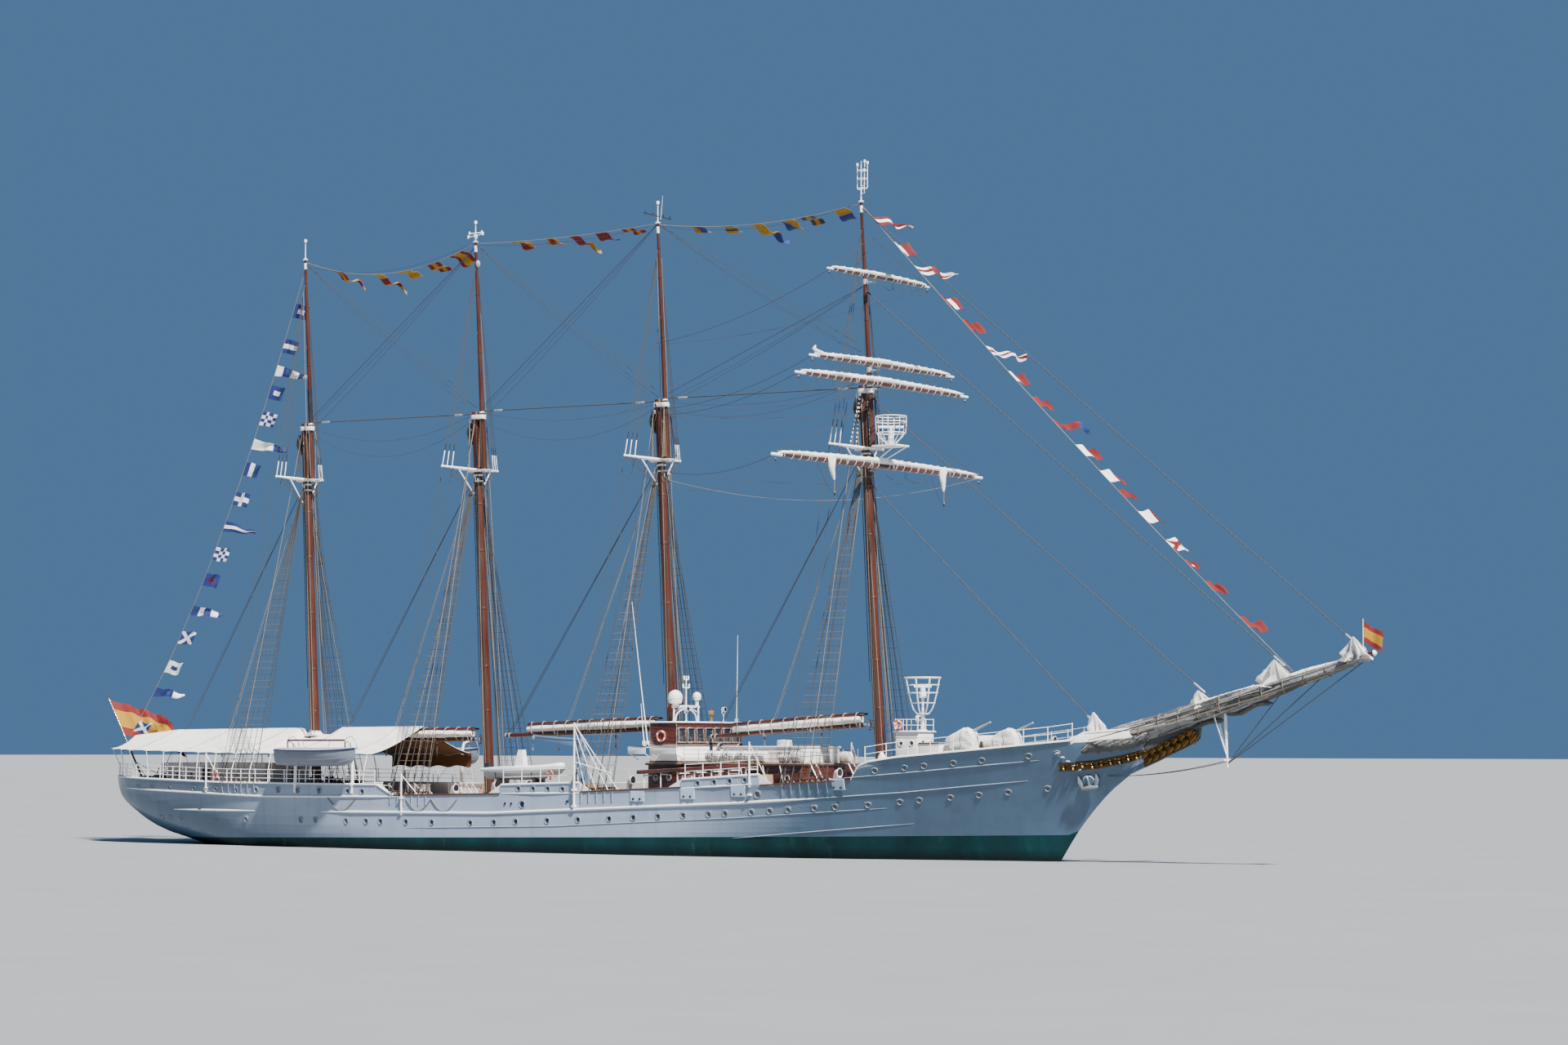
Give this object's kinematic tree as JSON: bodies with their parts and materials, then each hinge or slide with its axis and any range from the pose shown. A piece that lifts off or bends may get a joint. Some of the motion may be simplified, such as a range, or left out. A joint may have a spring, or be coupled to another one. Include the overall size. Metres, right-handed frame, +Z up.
{
  "type": "four-masted topsail schooner, 1:10 scale model",
  "caption": "White steel sailing ship afloat: clipper bow, four brown masts, square yards on the foremast, furled sails, awning aft, swinging booms, bracing yards.",
  "frame": {"origin": "amidships on the centreline, at the waterline", "axes": "+X to the bow, +Y to port, +Z up"},
  "size_m": [11.6785, 2.68, 5.705],
  "materials": {
    "hull_paint": "satin paint, teal green below the boot line",
    "spars": "satin red-brown paint",
    "canvas": "matt white canvas",
    "grey_canvas": "weathered grey canvas",
    "varnish": "gloss varnish",
    "bronze": "satin",
    "gilt": "worn gilding",
    "galvanised": "worn galvanised steel",
    "wire": "tarred wire",
    "crane_paint": "satin blue-grey",
    "boat_grey": "matt grey",
    "white_paint": "satin white"
  },
  "bodies": {
    "ship": {"aft_house": "white_paint", "anchor_port": "galvanised", "anchor_starboard": "galvanised", "antenna_cage": "white_paint", "awning": "canvas", "beakhead": "gilt", "bowsprit": "spars", "bridge_house": "varnish", "cap_stay_aft": "wire", "cap_stay_forward": "wire", "cap_stay_middle": "wire", "crane_post": "crane_paint", "davits_port": "white_paint", "davits_starboard": "white_paint", "dolphin_striker": "white_paint", "ensign_staff": "varnish", "flying_jib_stay": "wire", "fore_stay": "wire", "forward_house": "white_paint", "gun_port": "canvas", "gun_starboard": "canvas", "headsails": "grey_canvas", "hull": "hull_paint", "jib_stay": "wire", "mast_fore": "spars", "mast_main_aft": "spars", "mast_main_forward": "spars", "mast_mizzen": "spars", "middle_house": "white_paint", "outer_jib_stay": "wire", "radome_frame": "white_paint", "sail_main_aft": "canvas", "sail_mizzen": "canvas", "spars_main_aft": "spars", "spars_mizzen": "spars", "topmast_fore": "spars", "topmast_main_aft": "spars", "topmast_main_forward": "spars", "topmast_mizzen": "spars", "whaler_port": "white_paint", "whaler_starboard": "white_paint", "work_boat": "boat_grey"},
    "rudder": {"rudder": "hull_paint"},
    "propeller": {"propeller": "bronze"},
    "radar_scanner": {"radar_scanner": "white_paint"},
    "boom_main_forward": {"spars_main_forward": "spars", "sail_main_forward": "canvas"},
    "boom_fore": {"spars_fore": "spars", "sail_fore": "canvas"},
    "crane_jib": {"crane_jib": "crane_paint"},
    "door_port": {"bridge_door_port": "varnish"},
    "door_starboard": {"bridge_door_starboard": "varnish"},
    "yard_fore": {"yard_fore": "spars", "square_sail_fore": "canvas"},
    "yard_lower_topsail": {"yard_lower_topsail": "spars", "square_sail_lower_topsail": "canvas"},
    "yard_upper_topsail": {"yard_upper_topsail": "spars", "square_sail_upper_topsail": "canvas"},
    "yard_topgallant": {"yard_topgallant": "spars", "square_sail_topgallant": "canvas"}
  },
  "joints": [
    {"name": "rudder_stock", "type": "hinge", "parent": "ship", "child": "rudder", "pos_m": [-3.66, 0, -0.3], "axis": [0, 0, 1], "range_deg": [-35, 35]},
    {"name": "propeller_shaft", "type": "hinge", "parent": "ship", "child": "propeller", "pos_m": [-3.42, 0, -0.42], "axis": [1, 0, 0], "continuous": true},
    {"name": "radar_turn", "type": "hinge", "parent": "ship", "child": "radar_scanner", "pos_m": [2.83, 0, 2.97], "axis": [0, 0, 1], "continuous": true},
    {"name": "boom_swing_main_forward", "type": "hinge", "parent": "ship", "child": "boom_main_forward", "pos_m": [0.80131, 0, 0.92], "axis": [-0.0576, 0, 0.9983], "range_deg": [-45, 45]},
    {"name": "boom_swing_fore", "type": "hinge", "parent": "ship", "child": "boom_fore", "pos_m": [2.64787, 0, 0.945], "axis": [-0.0576, 0, 0.9983], "range_deg": [-45, 45]},
    {"name": "brace_fore", "type": "hinge", "parent": "ship", "child": "yard_fore", "pos_m": [2.69949, 0, 2.79], "axis": [-0.0576, 0, 0.9983], "range_deg": [-30, 30]},
    {"name": "brace_lower_topsail", "type": "hinge", "parent": "ship", "child": "yard_lower_topsail", "pos_m": [2.72776, 0, 3.375], "axis": [-0.0576, 0, 0.9983], "range_deg": [-30, 30]},
    {"name": "brace_upper_topsail", "type": "hinge", "parent": "ship", "child": "yard_upper_topsail", "pos_m": [2.71998, 0, 3.51], "axis": [-0.0576, 0, 0.9983], "range_deg": [-30, 30]},
    {"name": "brace_topgallant", "type": "hinge", "parent": "ship", "child": "yard_topgallant", "pos_m": [2.68307, 0, 4.15], "axis": [-0.0576, 0, 0.9983], "range_deg": [-30, 30]},
    {"name": "crane_slew", "type": "hinge", "parent": "ship", "child": "crane_jib", "pos_m": [0.435, -0.52, 0.82], "axis": [0, 0, 1], "range_deg": [-90, 90]},
    {"name": "door_port_hinge", "type": "hinge", "parent": "ship", "child": "door_port", "pos_m": [0.9717, 0.352, 0.78], "axis": [0, 0, 1], "range_deg": [-95, 0]},
    {"name": "door_starboard_hinge", "type": "hinge", "parent": "ship", "child": "door_starboard", "pos_m": [0.9717, -0.352, 0.78], "axis": [0, 0, 1], "range_deg": [0, 95]}
  ]
}
